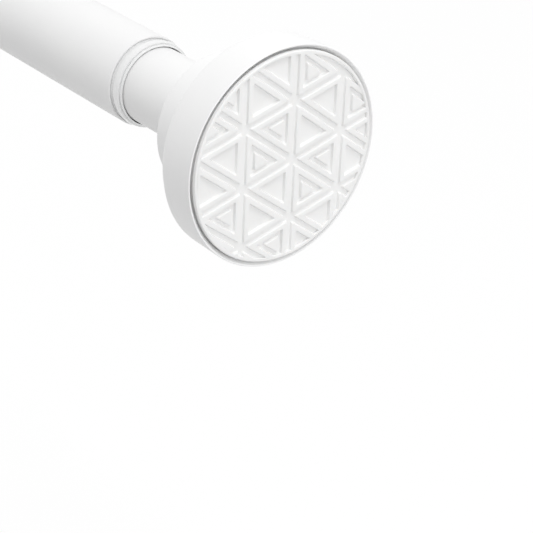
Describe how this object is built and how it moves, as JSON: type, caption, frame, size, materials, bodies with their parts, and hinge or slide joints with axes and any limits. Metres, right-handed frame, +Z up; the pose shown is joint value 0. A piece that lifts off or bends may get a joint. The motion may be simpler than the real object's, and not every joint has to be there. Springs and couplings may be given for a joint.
{
  "type": "spring tension rod",
  "caption": "Telescoping round curtain rod that wedges between two walls: a thin tube in a thick one, twist lock, inner spring and a soft ribbed pad on each round end cap.",
  "frame": {"origin": "centre of the left pad's face, where it meets the wall", "axes": "+X along the rod towards the right pad, +Z up, +Y across the rod"},
  "size_m": [0.42, 0.059, 0.059],
  "materials": {
    "outer_enamel": "smooth white enamel on a thin rolled steel tube",
    "inner_enamel": "smooth white enamel on a thin rolled steel tube",
    "clear_plastic": "clear, glossy moulded plastic",
    "cap_plastic": "white moulded plastic, soft sheen",
    "pad_rubber": "white soft elastomer, fine matte",
    "plug_plastic": "white moulded plastic",
    "lock_plastic": "grey moulded plastic",
    "zinc_steel": "zinc-plated steel",
    "spring_steel": "drawn spring wire"
  },
  "bodies": {
    "outer": {"thick_tube": "outer_enamel", "tube_collar": "clear_plastic", "left_pad": "pad_rubber", "left_cap_housing": "cap_plastic", "left_cap_screw": "zinc_steel", "left_tube_plug": "plug_plastic"},
    "lock": {"lock_sleeve": "lock_plastic"},
    "cone": {"lock_cone": "lock_plastic"},
    "spindle_set": {"spindle": "zinc_steel", "cone_stop_ring": "spring_steel", "thrust_washer": "zinc_steel", "spring_seat_washer": "zinc_steel", "spindle_stop_nut": "zinc_steel", "push_spring": "spring_steel"},
    "inner": {"thin_tube": "inner_enamel", "inner_end_bushing": "plug_plastic", "spring_stop_plug": "plug_plastic", "right_pad": "pad_rubber", "right_cap_housing": "cap_plastic", "right_cap_screw": "zinc_steel", "right_tube_plug": "plug_plastic"}
  },
  "joints": [
    {"name": "length_adjust", "type": "slide", "parent": "outer", "child": "lock", "axis": [1, 0, 0], "range_m": [0, 0.22]},
    {"name": "lock_twist", "type": "hinge", "parent": "lock", "child": "spindle_set", "pos_m": [0.0753, 0, 0], "axis": [1, 0, 0], "range_deg": [0, 540]},
    {"name": "cone_travel", "type": "slide", "parent": "lock", "child": "cone", "axis": [1, 0, 0], "range_m": [-0.0031, 0]},
    {"name": "spring_push", "type": "slide", "parent": "spindle_set", "child": "inner", "axis": [1, 0, 0], "range_m": [-0.025, 0], "stiffness_N_per_m": 2200, "springref_m": 0.01, "deforming": ["push_spring"]}
  ],
  "couplings": [
    {"joint": "cone_travel", "follows": "lock_twist", "m_per_rad": -0.00031831}
  ]
}
